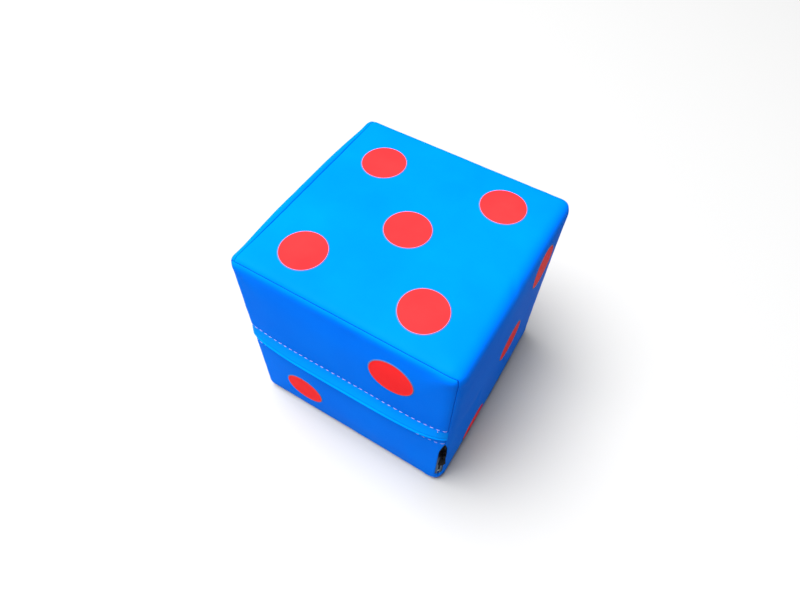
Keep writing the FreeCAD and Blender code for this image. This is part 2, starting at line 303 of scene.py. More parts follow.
def seam_distance(place):
    """How far each place on the die is from the nearest sewing line."""
    x, y, z = (place - centre).T
    widest = np.maximum(abs(x), abs(z))
    at_front = abs(-y - widest)
    at_back = abs(y - widest)
    at_closing = np.where((x < 0) & (z > 0) & (abs(y) < widest), abs(past_closing(place)), 1.0)
    return np.minimum(np.minimum(at_front, at_back) / math.sqrt(2), at_closing)


# The stitched edges are drawn in a little, in uneven puckers, and the faces aren't quite even.
pucker_depth = 0.00045
pucker_reach = 0.0075
pucker_pitch = 0.011
pucker_evenness = 0.35      # the share of the puckers that is the same all along
groove_depth = 0.00035
groove_reach = 0.0022
wave_depth = 0.0005
wave_pitch = 0.075
wave_reach = 0.020          # from a seam to where a face's waves are full
corner_push = 0.0005        # how far the sewn corners stand out, where three seams meet
corner_reach = 0.013
zip_calm = 0.030            # round the zip the fabric lies even
calm_top = 1.2 * mid
zip_valley = 0.0008         # the sewn tapes hold the front in along the zip
valley_height = 0.1020
valley_reach = 0.0140
valley_ends = 0.030
place = points(form)
outward = normals(form)
distance = seam_distance(place)
puckers = np.array([noise.noise(Vector(p) / pucker_pitch) for p in place])
waves = np.array([noise.noise(Vector(p) / wave_pitch) for p in place])
evened = pucker_evenness + (1 - pucker_evenness) * puckers
drawn = pucker_depth * evened * np.exp(-distance / pucker_reach)
drawn += groove_depth * np.exp(-(distance / groove_reach) ** 2)
drawn += wave_depth * waves * (1 - np.exp(-distance / wave_reach))
to_zip_edge = np.hypot(place[:, 0] - mid, place[:, 1] + mid)
above_zip = np.maximum(place[:, 2] - calm_top, 0)
drawn *= 1 - np.exp(-(to_zip_edge ** 2 + above_zip ** 2) / zip_calm ** 2)
valley = np.exp(-((place[:, 2] - valley_height) / valley_reach) ** 2)
drawn += zip_valley * valley * (place[:, 1] < -mid / 2) * np.clip(distance / valley_ends, 0, 1)
# The closing seam is drawn down between its corners, and the left face rolls out beyond it.
closing_dip = 0.0006
dip_reach = 0.0100
closing_roll = 0.0019
roll_reach = 0.0060
roll_ends = (0.096, 0.030)
past = past_closing(place)
fade = share_between(abs(place[:, 1]), *roll_ends)
along = fade * fade * (3 - 2 * fade) * (place[:, 0] < 0) * np.clip(2 * place[:, 2] / mid - 2, 0, 1)
steps_out = np.maximum(-past, 0) / roll_reach
dip = np.where(past > 0, np.exp(-(past / dip_reach) ** 2), np.exp(-(past / groove_reach) ** 2))
drawn += along * (closing_dip * dip - closing_roll * steps_out * np.exp(1 - steps_out))
place -= outward * drawn[:, None]
from_corner = mid - abs(place - centre)
pushed = corner_push * np.exp(-(np.linalg.norm(from_corner, axis=1) / corner_reach) ** 2)
place += np.sign(place - centre) * (pushed / math.sqrt(3))[:, None]
place[:, 2] = np.maximum(place[:, 2], sole)
set_points(form, place)
form_tree = BVHTree.FromPolygons([tuple(p) for p in place],
                                 [p.vertices[:] for p in form.data.polygons])


def laid(start, direction):
    """Where a line from outside first meets the filled form."""
    spot, _, _, _ = form_tree.ray_cast(Vector(start), Vector(direction).normalized())
    return np.array(spot)


def on_front(x, height):
    return laid((x, -edge, height), (0, 1, 0))


def copy_of(piece, name):
    activate(piece)
    bpy.ops.object.duplicate()
    made = bpy.context.object
    made.name = name
    return made


# Shared effects. The grain group gives the height of a fine pressed grain and a slow, soft
# patchiness. The rub group gives where handling has dulled a surface.
def new_group(name, inputs, outputs):
    group = bpy.data.node_groups.new(name, "ShaderNodeTree")
    for label, value in inputs.items():
        socket = group.interface.new_socket(label, in_out="INPUT", socket_type="NodeSocketFloat")
        socket.default_value = value
    for label in outputs:
        group.interface.new_socket(label, in_out="OUTPUT", socket_type="NodeSocketFloat")
    return group, group.nodes.new("NodeGroupInput"), group.nodes.new("NodeGroupOutput")


def wire(tree, source, output, target, socket):
    tree.links.new(source.outputs[output], target.inputs[socket])


def noise_node(tree, coordinates, output, scale, detail=3.0, roughness=0.55):
    made = tree.nodes.new("ShaderNodeTexNoise")
    made.inputs["Scale"].default_value = scale
    made.inputs["Detail"].default_value = detail
    made.inputs["Roughness"].default_value = roughness
    wire(tree, coordinates, output, made, "Vector")
    return made


def object_noise(tree, scale, detail=3.0):
    """Noise that stays with the piece."""
    return noise_node(tree, tree.nodes.new("ShaderNodeTexCoord"), "Object", scale, detail)


def map_range(tree, source, output, low, high, to_low=0.0, to_high=1.0):
    made = tree.nodes.new("ShaderNodeMapRange")
    for socket, value in (("From Min", low), ("From Max", high), ("To Min", to_low),
                          ("To Max", to_high)):
        made.inputs[socket].default_value = value
    wire(tree, source, output, made, "Value")
    return made


def product(tree, first, output, second, other_output):
    made = tree.nodes.new("ShaderNodeMath")
    made.operation = "MULTIPLY"
    wire(tree, first, output, made, 0)
    wire(tree, second, other_output, made, 1)
    return made


grain_group, grain_in, grain_out = new_group(
    "pressed_grain", {"Cells per metre": 900.0}, ("Height", "Patch"))
grain_place = grain_group.nodes.new("ShaderNodeTexCoord")
cells = grain_group.nodes.new("ShaderNodeTexVoronoi")
cells.feature = "DISTANCE_TO_EDGE"
wire(grain_group, grain_place, "Object", cells, "Vector")
wire(grain_group, grain_in, "Cells per metre", cells, "Scale")
creases = map_range(grain_group, cells, "Distance", 0.0, 0.25)
soft = noise_node(grain_group, grain_place, "Object", 1500.0, 2.0)
both = grain_group.nodes.new("ShaderNodeMath")
both.operation = "MULTIPLY_ADD"
both.inputs[1].default_value = 0.7
wire(grain_group, creases, "Result", both, 0)
wire(grain_group, soft, "Fac", both, 2)
wire(grain_group, both, "Value", grain_out, "Height")
patch_noise = noise_node(grain_group, grain_place, "Object", 14.0, 4.0)
patch = map_range(grain_group, patch_noise, "Fac", 0.3, 0.7)
wire(grain_group, patch, "Result", grain_out, "Patch")

rub_group, rub_in, rub_out = new_group(
    "rubbed_marks", {"Marks per metre": 60.0, "Amount": 0.5}, ("Mask",))
rub_place = rub_group.nodes.new("ShaderNodeTexCoord")
broad = noise_node(rub_group, rub_place, "Object", 9.0, 2.0)
fine = rub_group.nodes.new("ShaderNodeTexNoise")
fine.inputs["Detail"].default_value = 6.0
fine.inputs["Distortion"].default_value = 0.6
wire(rub_group, rub_place, "Object", fine, "Vector")
wire(rub_group, rub_in, "Marks per metre", fine, "Scale")
broad_mask = map_range(rub_group, broad, "Fac", 0.45, 0.75)
fine_mask = map_range(rub_group, fine, "Fac", 0.5, 0.72)
marks = product(rub_group, broad_mask, "Result", fine_mask, "Result")
scaled_marks = product(rub_group, marks, "Value", rub_in, "Amount")
wire(rub_group, scaled_marks, "Value", rub_out, "Mask")


def new_material(name, **fixed):
    """A material whose shader has the given constants."""
    made = bpy.data.materials.new(name)
    made.use_nodes = True
    shader = made.node_tree.nodes["Principled BSDF"]
    for socket, value in fixed.items():
        shader.inputs[socket.replace("_", " ")].default_value = value
    return made, made.node_tree, shader


def use_group(tree, group, **values):
    made = tree.nodes.new("ShaderNodeGroup")
    made.node_tree = group
    for label, value in values.items():
        made.inputs[label.replace("_", " ")].default_value = value
    return made


def two_tone(tree, mask, output, first, second, shader):
    """Base colour between two tones, where the mask goes from 0 to 1."""
    ramp = tree.nodes.new("ShaderNodeMix")
    ramp.data_type = "RGBA"
    ramp.inputs[6].default_value = (*first, 1)
    ramp.inputs[7].default_value = (*second, 1)
    tree.links.new(mask.outputs[output], ramp.inputs[0])
    tree.links.new(ramp.outputs[2], shader.inputs["Base Color"])
    return ramp


def bump(tree, source, output, strength, depth, shader):
    made = tree.nodes.new("ShaderNodeBump")
    made.inputs["Strength"].default_value = strength
    made.inputs["Distance"].default_value = depth
    wire(tree, source, output, made, "Height")
    wire(tree, made, "Normal", shader, "Normal")
    return made


def give(piece, *finishes):
    piece.data.materials.clear()
    for finish in finishes:
        piece.data.materials.append(finish)


def mottled(name, scale, detail, dark, light, **fixed):
    """A material whose colour wanders between two tones."""
    made, tree, shader = new_material(name, **fixed)
    wander = object_noise(tree, scale, detail)
    two_tone(tree, wander, "Fac", dark, light, shader)
    return made, tree, shader, wander


foam_skin, foam_tree, foam_shader = new_material(
    "open_cell_foam", Roughness=0.95, Specular_IOR_Level=0.15, Subsurface_Weight=0.0)
foam_place = foam_tree.nodes.new("ShaderNodeTexCoord")
pores = foam_tree.nodes.new("ShaderNodeTexVoronoi")
pores.inputs["Scale"].default_value = 700.0
wire(foam_tree, foam_place, "Object", pores, "Vector")
two_tone(foam_tree, pores, "Distance", (0.62, 0.56, 0.40), (0.90, 0.86, 0.70), foam_shader)
bump(foam_tree, pores, "Distance", 0.6, 0.0006, foam_shader)

foam_inset = 0.0018         # the cover's thickness and the space inside it
zip_hollow = 0.0040         # how much deeper the foam gives way behind the zip
zip_reach = 0.0075
seam_hollow = 0.0070        # and where the turned-in edges of a seam stand in it
seam_reach = 0.0009
zip_height = mid
foam_block = copy_of(form, "foam_block")
place = points(foam_block)
level_gap = np.where(place[:, 1] < -mid / 2, abs(place[:, 2] - zip_height), 1.0)
from_edge = abs(-place[:, 1] - place[:, 0]) / math.sqrt(2)
upright_gap = np.where(by_zip_edge(place) & (place[:, 2] < zip_height), from_edge, 1.0)
gap = np.minimum(level_gap, upright_gap)
inset = foam_inset + zip_hollow * np.exp(-(gap / zip_reach) ** 4)
inset += seam_hollow * np.exp(-(seam_distance(place) / seam_reach) ** 2)
set_points(foam_block, place - normals(foam_block) * inset[:, None])
bpy.ops.object.shade_smooth()
give(foam_block, foam_skin)
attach(foam_block, "cover")
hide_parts("foam_core")

# ---------------------------------------------------------------- Cover panels
# Sky blue coated fabric, 0.8 mm thick, sewn inside out and turned, so that every seam is a
# thin groove with the edges of both panels standing inside the cover.
vinyl_thickness = 0.0008
allowance = 0.0075          # depth of the edges turned in at a seam
shallow_allowance = 0.0009  # depth of the same beside the zip
seam_fold = 0.00030         # radius of the fabric where it turns in
seam_gap = 0.00024          # from the sewing line to each turned-in edge
fold_steps = 3
squeeze_reach = 0.004       # how far into a panel its mesh makes room for the fold
nudge = 0.0001
hinge_height = 0.1114       # where the flap hangs from the upper front panel
lower_panel_top = 0.0970
stitch_pitch = 0.0054
upper_row = 0.1126
lower_row = 0.0880
row_valley = 0.00028        # how deep the thread pulls the fabric in
row_reach = 0.0013
hole_share = 0.35           # how much of that is only at the needle holes
row_rise = 0.0022           # how far the rows turn up at the zip's corner
rise_from = 0.080
edge_lift = 0.0030          # how far the edges beside the zip turn up towards its corner
lift_from = 0.070
lift_curve = 1.5            # above 1, most of that comes near the corner
slot_half = 0.0035
slot_bottom = 0.0150
slot_tip = 0.0865
slot_point = 1.7            # the lower, the sharper the upper end
slot_straight = (0.0200, 0.0700)
slot_reach = 0.022          # how far from the edge the opening pushes the fabric aside
bay = (0.0120, 0.1155)      # heights between which the zip lies behind the front right edge


def coated(name, cells, marks, worn, dark, light, sheen, grain_share, grain_depth):
    """Coated fabric: a patchy colour, a pressed grain, and a sheen that handling dulls."""
    made, tree, shader = new_material(name, Specular_IOR_Level=0.004)
    grain = use_group(tree, grain_group, Cells_per_metre=cells)
    rub = use_group(tree, rub_group, Marks_per_metre=marks, Amount=worn)
    two_tone(tree, grain, "Patch", dark, light, shader)
    polish = map_range(tree, rub, "Mask", 0.0, 1.0, *sheen)
    wire(tree, polish, "Result", shader, "Roughness")
    bump(tree, grain, "Height", grain_share, grain_depth, shader)
    return made


vinyl_sheen = (0.50, 0.68)
vinyl = coated("sky_blue_vinyl", 1300.0, 70.0, 0.35, (0.0, 0.150, 0.83), (0.0, 0.175, 0.88),
               vinyl_sheen, 0.22, 0.00006)
vinyl_back, back_tree, back_shader, back_noise = mottled(
    "vinyl_backing", 1800.0, 2.0, (0.0, 0.04, 0.20), (0.0, 0.08, 0.34),
    Roughness=0.9, Specular_IOR_Level=0.1)
bump(back_tree, back_noise, "Fac", 0.5, 0.0001, back_shader)


def rim(piece):
    """Which edges have a face on one side only."""
    uses = np.zeros(len(piece.data.edges), int)
    np.add.at(uses, read(piece.data.loops, "edge_index", int, 1), 1)
    return uses == 1


def in_bay(place):
    return by_zip_edge(place) & (place[:, 2] > bay[0]) & (place[:, 2] < bay[1])


def finder_of(spots):
    """Finds the number of the spot nearest to a place."""
    finder = KDTree(len(spots))
    for number, spot in enumerate(spots):
        finder.insert(spot, number)
    finder.balance()
    return finder


def turn_in(piece, chosen):
    """Turns the chosen free edges in at a seam: round a small fold, then straight into the
    die as an allowance."""
    place = points(piece)
    outward = normals(piece)
    on_rim = np.unique(ends_of(piece)[chosen])
    into_panel = np.zeros_like(place)
    for face in piece.data.polygons:
        for corner in face.vertices:
            into_panel[corner] += np.array(face.center) - place[corner]
    into_panel -= outward * (into_panel * outward).sum(1, keepdims=True)
    into_panel /= np.maximum(np.linalg.norm(into_panel, axis=1, keepdims=True), 1e-9)
    base = place[on_rim].copy()
    rise = outward[on_rim]
    back = into_panel[on_rim]
    depth = np.where(in_bay(base), shallow_allowance, allowance)[:, None]
    inwards = centre - base
    inwards /= np.linalg.norm(inwards, axis=1, keepdims=True)
    # Both edges of the closing seam start in one place, so each is looked for a little way
    # into its own side of the seam.
    looked_for = place.copy()
    looked_for[on_rim] += back * nudge
    rim_finder = finder_of(base + back * nudge)
    for vertex in range(len(place)):
        _, nearest, gap = rim_finder.find(looked_for[vertex])
        if gap < squeeze_reach:
            share = 1 - gap / squeeze_reach
            place[vertex] += back[nearest] * (seam_gap + seam_fold) * share
    set_points(piece, place)
    base += back * seam_gap
    ring = place[on_rim]
    rings = []
    for step in range(1, fold_steps + 1):
        turn = math.pi / 2 * step / fold_steps
        rings.append(base + back * seam_fold * (1 - math.sin(turn))
                     - rise * seam_fold * (1 - math.cos(turn)))
    rings.append(base + inwards * depth)
    pick(piece, "EDGE", chosen)
    for target in rings:
        bpy.ops.mesh.extrude_region()
        leave()
        finder = finder_of(ring)
        place = points(piece)
        for vertex in np.flatnonzero(read(piece.data.vertices, "select", bool, 1)):
            place[vertex] = target[finder.find(place[vertex])[1]]
        set_points(piece, place)
        ring = target
        bpy.ops.object.mode_set(mode="EDIT")
    leave()


def thicken(piece):
    """Gives a laid panel its thickness, inwards, with the backing on the inner side."""
    give(piece, vinyl, vinyl_back)
    finish_with(piece, "SOLIDIFY", thickness=vinyl_thickness, offset=-1.0, material_offset=1)
    bpy.ops.object.shade_smooth_by_angle(angle=math.radians(50))


def opening_at(height):
    """Half width of the gaping seam where the zip ends: blunt below, pointed above."""
    low, high = slot_straight
    above = share_between(height, high, slot_tip)
    below = share_between(height, low, slot_bottom)
    return slot_half * (1 - above ** slot_point) * np.sqrt(1 - below ** 2)


def open_slot(piece, side):
    """Pushes the fabric aside along the zip's lower end. side is -1 in front, +1 on the right."""
    place = points(piece)
    near = by_zip_edge(place)
    gap = abs(-place[:, 1] - place[:, 0]) / math.sqrt(2)
    share = np.clip(1 - gap / slot_reach, 0, 1) ** 2 * near
    sideways = np.cross((0, 0, 1), normals(piece)) * side
    place += sideways * (share * opening_at(place[:, 2]))[:, None]
    set_points(piece, place)


def cut_panel(name, number):
    """One panel's share of the filled form."""
    panel = copy_of(form, name)
    pick(panel, "FACE", side_of(middles(panel, "FACE")) != number)
    bpy.ops.mesh.delete(type="FACE")
    leave()
    return panel


def sew_in(piece, *nodes):
    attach(piece, "cover")
    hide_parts(*nodes)


back_cover = cut_panel("back_cover", 1)
turn_in(back_cover, rim(back_cover))
thicken(back_cover)
sew_in(back_cover, "back_panel")

wrap_cover = cut_panel("wrap_cover", 0)
closing_line = np.array([line.use_seam for line in wrap_cover.data.edges])
pick(wrap_cover, "EDGE", closing_line & ~rim(wrap_cover))
bpy.ops.mesh.edge_split(type="EDGE")
leave()
open_slot(wrap_cover, 1)
turn_in(wrap_cover, rim(wrap_cover))
thicken(wrap_cover)
sew_in(wrap_cover, "wrap_strip")

front_cover = cut_panel("front_cover", -1)
finish_with(front_cover, "SUBSURF", levels=1, render_levels=1)


def cut_at(piece, height, keep_above):
    """Cuts a panel level across with one straight cut."""
    pick_all(piece)
    bpy.ops.mesh.bisect(plane_co=(0, 0, height), plane_no=(0, 0, 1),
                        clear_inner=keep_above, clear_outer=not keep_above)
    leave()


def lift_at(x):
    """How far the flap's fold and the panel edge behind it have turned up."""
    return edge_lift * share_between(x, lift_from, mid) ** lift_curve


def rise_at(x):
    """How far the rows of stitches have turned up."""
    return row_rise * share_between(x, rise_from, mid)


def stitch_dimples(piece, height):
    """Draws the fabric in along a row of stitches, most at the needle holes."""
    place = points(piece)
    inner = np.exp(-((place[:, 2] - height - rise_at(place[:, 0])) / row_reach) ** 2)
    holes = 1 - hole_share + hole_share * np.cos(2 * math.pi * place[:, 0] / stitch_pitch)
    place -= normals(piece) * (row_valley * inner * holes)[:, None]
    set_points(piece, place)


upper_cover = copy_of(front_cover, "front_upper_cover")
cut_at(upper_cover, hinge_height, True)
stitch_dimples(upper_cover, upper_row)
edges_sewn = rim(upper_cover) & (abs(middles(upper_cover, "EDGE")[:, 2] - hinge_height) > 1e-5)
turn_in(upper_cover, edges_sewn)
thicken(upper_cover)
sew_in(upper_cover, "front_upper_panel")

lower_cover = copy_of(front_cover, "front_lower_cover")
cut_at(lower_cover, lower_panel_top, False)
stitch_dimples(lower_cover, lower_row)
open_slot(lower_cover, -1)
edges_sewn = rim(lower_cover) & (abs(middles(lower_cover, "EDGE")[:, 2] - lower_panel_top) > 1e-5)
turn_in(lower_cover, edges_sewn)
# The edge behind the flap dips towards the side seams, clear of the flap's fold, and turns up
# with it at the zip's corner.
edge_dip = 0.0014
dip_from = 0.072
dip_full = 0.086
edge_from = 0.090           # height from which the panel moves with its edge
place = points(lower_cover)
sideways = share_between(abs(place[:, 0]), dip_from, dip_full)
upward = share_between(place[:, 2], edge_from, lower_panel_top)
place[:, 2] += (lift_at(place[:, 0]) - edge_dip * sideways) * upward
set_points(lower_cover, place)
thicken(lower_cover)
sew_in(lower_cover, "front_lower_panel")
bpy.data.objects.remove(front_cover)

# ---------------------------------------------------------------- Zip flap
# A strip of the same vinyl, folded double so that it hides the zip. Its colour is painted lighter
# than the cover's: painted light, for the light that its upward lean catches. It hangs from the
# upper row of stitches, bows out over the foam, and its ends are sewn into the side seams. A lifted
# flap keeps its ends and opens in the middle, so it is made as two halves that meet there.
fold_height = 0.0960
fold_radius = 0.0012
flap_rest = 0.0012          # how far the ends of the fold stand off the face
flap_bow = 0.0048           # how much further the middle does
crease_depth = 0.0007
crease_rise = 0.0030        # from the fold up to the pressed line
crease_width = 0.0006
flap_curve = 1.25           # above 1, the flap leans out more towards its fold
flap_tuck = 0.0019          # how deep its inner layer is sewn in at the top
flap_back_top = 0.1106
outer_from = 0.104          # above this only the outer layer faces forwards
outer_rows = 26
fold_rows = 9
back_rows = 8
flap_columns = 64
flap_still = 0.093          # from here outwards the flap stays with the cover
# Painted light: the flap's colour is lighter than the cover's, for the light that its upward lean
# catches.
flap_vinyl_painted_light = coated("zip_flap_vinyl_painted_light", 1300.0, 70.0, 0.35, (0.0, 0.225, 0.86),
                    (0.0, 0.250, 0.90), vinyl_sheen, 0.22, 0.00006)


def end_of_flap(side):
    """Distance from the middle to the side seam: the zip edge has the smaller rounding."""
    radius = fold_round if side > 0 else seam_round
    return mid - radius * (1 - math.sin(math.radians(45)))


def face_direction(x):
    """Outward direction of the front face, turning with its rounded upright edges."""
    radius = fold_round if x > 0 else seam_round
    lean = np.clip((abs(x) - (mid - radius)) / radius, 0, 0.7072)
    return np.array((math.copysign(lean, x), -math.sqrt(1 - lean ** 2), 0))


def face_out(piece):
    pick_all(piece)
    bpy.ops.mesh.normals_make_consistent(inside=False)
    leave()


def flip(piece):
    pick_all(piece)
    bpy.ops.mesh.flip_normals()
    leave()


def flap_section(stand_off, lift):
    """Heights and stand-off of the folded strip's outer face, from the stitched edge down,
    round the fold and up behind."""
    section = []
    fold_low = fold_height + lift
    fold_middle = fold_low + fold_radius
    for row in range(outer_rows):
        down = row / outer_rows
        height = hinge_height + (fold_middle - hinge_height) * down
        off = stand_off * down ** flap_curve
        crease = math.exp(-((height - fold_low - crease_rise) / crease_width) ** 2)
        section.append((height, off - crease_depth * crease))
    for row in range(fold_rows):
        turn = math.pi * row / (fold_rows - 1)
        section.append((fold_middle - fold_radius * math.sin(turn),
                        stand_off - fold_radius * (1 - math.cos(turn))))
    for row in range(1, back_rows + 1):
        rise = row / back_rows
        height = fold_middle + (flap_back_top - fold_middle) * rise
        behind = stand_off - 2 * fold_radius
        section.append((height, behind + (-flap_tuck - behind) * rise))
    return section


for side, name in ((-1, "zip_flap_left"), (1, "zip_flap_right")):
    bpy.ops.mesh.primitive_grid_add(x_subdivisions=flap_columns,
                                    y_subdivisions=outer_rows + fold_rows + back_rows - 1,
                                    size=1, location=(0, 0, 0))
    flap = bpy.context.object
    flap.name = name
    place = points(flap)
    columns = np.rint((place[:, 0] + 0.5) * flap_columns).astype(int)
    rows = np.rint((0.5 - place[:, 1]) * (outer_rows + fold_rows + back_rows - 1)).astype(int)
    for column in range(flap_columns + 1):
        x = side * end_of_flap(side) * column / flap_columns
        outward = face_direction(x)
        bow = max(0.0, 1 - (x / flap_still) ** 4)
        surface = on_front(x, fold_height)
        swollen = max(0.0, -surface[1] - mid)
        stand_off = flap_rest + max(0.0, flap_bow * bow - swollen)
        for row, (height, off) in enumerate(flap_section(stand_off, lift_at(x))):
            surface = on_front(x, height)
            mine = (columns == column) & (rows == row)
            place[mine] = surface + outward * off
    set_points(flap, place)
    face_out(flap)
    bpy.context.view_layer.update()
    lit = [f for f in flap.data.polygons if f.center.z > outer_from and f.normal.y < -0.5]
    if len(lit) < flap_columns:
        flip(flap)
    thicken(flap)
    flap.data.materials[0] = flap_vinyl_painted_light
    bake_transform(flap)
    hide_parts("zip_flap")

# ---------------------------------------------------------------- Spots
# Twenty-one discs of thin red vinyl, heat-welded to the panels before sewing. The weld
# leaves a bluish, slightly raised line round each disc.
weld_width = 0.0010
weld_height = 0.00032
disc_height = 0.00022
disc_thickness = 0.00015
rim_sink = 0.00004          # how far the disc's rim is pressed into the cover
ground_gap = 0.00005
search_from = 0.05          # from outside a face in to its surface
disc_rings = 9
disc_points = 96

spot_red = coated("red_vinyl", 1500.0, 90.0, 0.4, (0.90, 0.020, 0.024),
                  (0.96, 0.030, 0.032), (0.40, 0.58), 0.18, 0.00005)
weld_line = mottled("pale_weld", 260.0, 3.0, (0.06, 0.13, 0.28), (0.10, 0.17, 0.34),
                    Roughness=0.5, Specular_IOR_Level=0.05)[0]

spot_nodes = sorted(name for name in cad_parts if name.startswith("pip_"))
for node in spot_nodes:
    low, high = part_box(node)
    size = high - low
    thin = min(range(3), key=lambda i: size[i])
    spot_middle = (low + high) / 2
    away = Vector((0, 0, 0))
    away[thin] = 1.0 if spot_middle[thin] - centre[thin] > 0 else -1.0
    radius = size[(thin + 1) % 3] / 2
    bpy.ops.mesh.primitive_circle_add(vertices=disc_points, radius=radius,
                                      fill_type="NGON", location=(0, 0, 0))
    spot = bpy.context.object
    spot.name = node.replace("pip_", "spot_")
    pick(spot, "FACE", [True])
    bpy.ops.mesh.inset(thickness=weld_width * 0.5)
    bpy.ops.mesh.inset(thickness=weld_width * 0.5)
    for ring in range(disc_rings):
        bpy.ops.mesh.inset(thickness=(radius - weld_width) / (disc_rings + 1))
    bpy.ops.mesh.poke()
    leave()
    flat = points(spot)
    reach = np.linalg.norm(flat[:, :2], axis=1)
    heights = np.full(len(flat), disc_height)
    on_weld = abs(reach - radius + weld_width / 2) < weld_width / 4
    at_rim = reach > radius - weld_width / 4
    heights[on_weld] = weld_height
    heights[at_rim] = -rim_sink
    turn = away.to_track_quat("Z", "Y").to_matrix()
    place = flat.copy()
    for i, point in enumerate(flat):
        start = spot_middle + turn @ Vector(point) + away * search_from
        place[i] = laid(start, -away) + np.array(away) * heights[i]
    if away.z < 0:
        place[:, 2] = np.maximum(place[:, 2], ground_gap)
    set_points(spot, place)
    give(spot, spot_red, weld_line)
    ring_reach = np.array([np.linalg.norm(flat[list(f.vertices), :2].mean(0))
                           for f in spot.data.polygons])
    for face, far in zip(spot.data.polygons, ring_reach):
        face.material_index = int(far > radius - weld_width)
    finish_with(spot, "SOLIDIFY", thickness=disc_thickness, offset=-1.0)
    bpy.ops.object.shade_smooth()
    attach(spot, "cover")
    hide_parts(node)

# ---------------------------------------------------------------- Top stitching
# Two rows of thick pale thread that hold the zip tapes: one over the flap's upper edge and
# one below the zip. Both rows end in the side seams.
stitch_length = 0.0037
thread_radius = 0.00023
stitch_count = 36
stitch_plump = 0.25         # how much thicker a stitch is in its middle
stitch_even = 1.1
slant_step = 2.1
stitch_slant = 0.00018
stitch_ends_down = 0.00030
thread_press = 0.8          # the thread is pressed this flat
thread_lift = 0.00002
pale_thread, pale_tree, pale_shader = new_material("pale_thread", Roughness=0.75,
                                                   Specular_IOR_Level=0.2)
blue_thread, blue_tree, blue_shader = new_material("blue_thread", Roughness=0.7,
                                                   Specular_IOR_Level=0.2)


def wave_node(tree, coordinates, direction, scale, distortion):
    made = tree.nodes.new("ShaderNodeTexWave")
    made.bands_direction = direction
    made.inputs["Scale"].default_value = scale
    made.inputs["Distortion"].default_value = distortion
    wire(tree, coordinates, "Object", made, "Vector")
    return made


for tree, shader, dark, light in (
        (pale_tree, pale_shader, (0.50, 0.36, 0.66), (0.86, 0.74, 0.95)),
        (blue_tree, blue_shader, (0.0, 0.020, 0.20), (0.0, 0.055, 0.42))):
    thread_place = tree.nodes.new("ShaderNodeTexCoord")
    twist = wave_node(tree, thread_place, "DIAGONAL", 900.0, 1.5)
    two_tone(tree, twist, "Fac", dark, light, shader)
    bump(tree, twist, "Fac", 0.6, 0.00008, shader)


def stitch_row(name, count, length, pitch, radius):
    """A straight row of stitches along X, centred, each a short rounded length of thread."""
    bpy.ops.mesh.primitive_uv_sphere_add(segments=8, ring_count=7, radius=radius,
                                         location=(0, 0, 0), rotation=(0, math.pi / 2, 0))
    row = bpy.context.object
    row.name = name
    bpy.ops.object.transform_apply(location=True, rotation=True, scale=True)
    place = points(row)
    place[:, 0] *= length / 2 / radius
    swollen = 1 + stitch_plump * np.cos(place[:, 0] / length * math.pi)
    place[:, 1:] *= (swollen / stitch_even)[:, None]
    place[:, 0] -= (count - 1) / 2 * pitch
    set_points(row, place)
    finish_with(row, "ARRAY", count=count, use_relative_offset=False,
                use_constant_offset=True, constant_offset_displace=(pitch, 0, 0))
    bpy.ops.object.shade_smooth()
    return row


# A short tack across the end of the upper row locks it.
tack_place = (0.0893, 0.1107)
tack_length = 0.0030
tack_proud = 0.0003


for name, node, height in (("stitches_upper", "topstitch_upper", upper_row),
                           ("stitches_lower", "topstitch_lower", lower_row)):
    row = stitch_row(name, stitch_count, stitch_length, stitch_pitch, thread_radius)
    place = points(row)
    number = np.rint(place[:, 0] / stitch_pitch - 0.5) + 0.5
    slant = stitch_slant * np.sin(number * slant_step)
    along = place[:, 0] - number * stitch_pitch
    ends_down = stitch_ends_down * (2 * along / stitch_length) ** 4
    for i, (x, flat_y, flat_z) in enumerate(place):
        outward = face_direction(x)
        z = height + rise_at(x) + flat_z + slant[i] * along[i] / stitch_length
        surface = on_front(x, z)
        off = -flat_y * thread_press + thread_lift - ends_down[i]
        place[i] = surface + outward * (off - row_valley * 0.5)
    set_points(row, place)
    if height == upper_row:
        tack = stitch_row("tack", 1, tack_length, stitch_pitch, thread_radius)
        across = points(tack)[:, [2, 1, 0]]
        for i, (side, flat_y, upward) in enumerate(across):
            surface = on_front(tack_place[0] + side, tack_place[1] + upward)
            across[i] = surface + np.array((0, flat_y * thread_press - tack_proud, 0))
        set_points(tack, across)
        face_out(tack)
        join([row, tack])
    give(row, pale_thread)
    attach(row, "cover")
    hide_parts(node)

# ---------------------------------------------------------------- Seam threads
# The closing seams are lockstitched in blue thread, which shows between the two panels as
# short dark dashes in the bottom of the groove.
seam_pitch = 0.0034
seam_stitch = 0.0024
seam_thread_radius = 0.00022
seam_thread_depth = 0.0008   # below the outer face, in the groove
seam_span = mid - seam_round


def seam_rows(name, node, runs):
    """Rows of thread along several straight seams, joined as one piece. Each run is the
    direction along the seam, the outward direction across it and a point inside it."""
    made = []
    for along, diagonal, middle in runs:
        count = int(2 * seam_span / seam_pitch)
        row = stitch_row("run", count, seam_stitch, seam_pitch, seam_thread_radius)
        along = Vector(along)
        diagonal = Vector(diagonal).normalized()
        beside = along.cross(diagonal)
        place = points(row)
        number = np.rint(place[:, 0] / seam_pitch + (count + 1) % 2 / 2)
        for i, (s, side, rise) in enumerate(place):
            start = Vector(middle) + along * s + diagonal * edge
            surface = laid(start, -diagonal)
            place[i] = surface + np.array(diagonal * (rise - seam_thread_depth) + beside * side)
        set_points(row, place)
        made.append(row)
    join(made)
    piece = made[0]
    piece.name = name
    pick(piece, "VERT", in_bay(points(piece)))
    bpy.ops.mesh.delete(type="VERT")
    leave()
    give(piece, blue_thread)
    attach(piece, "cover")
    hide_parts(node)


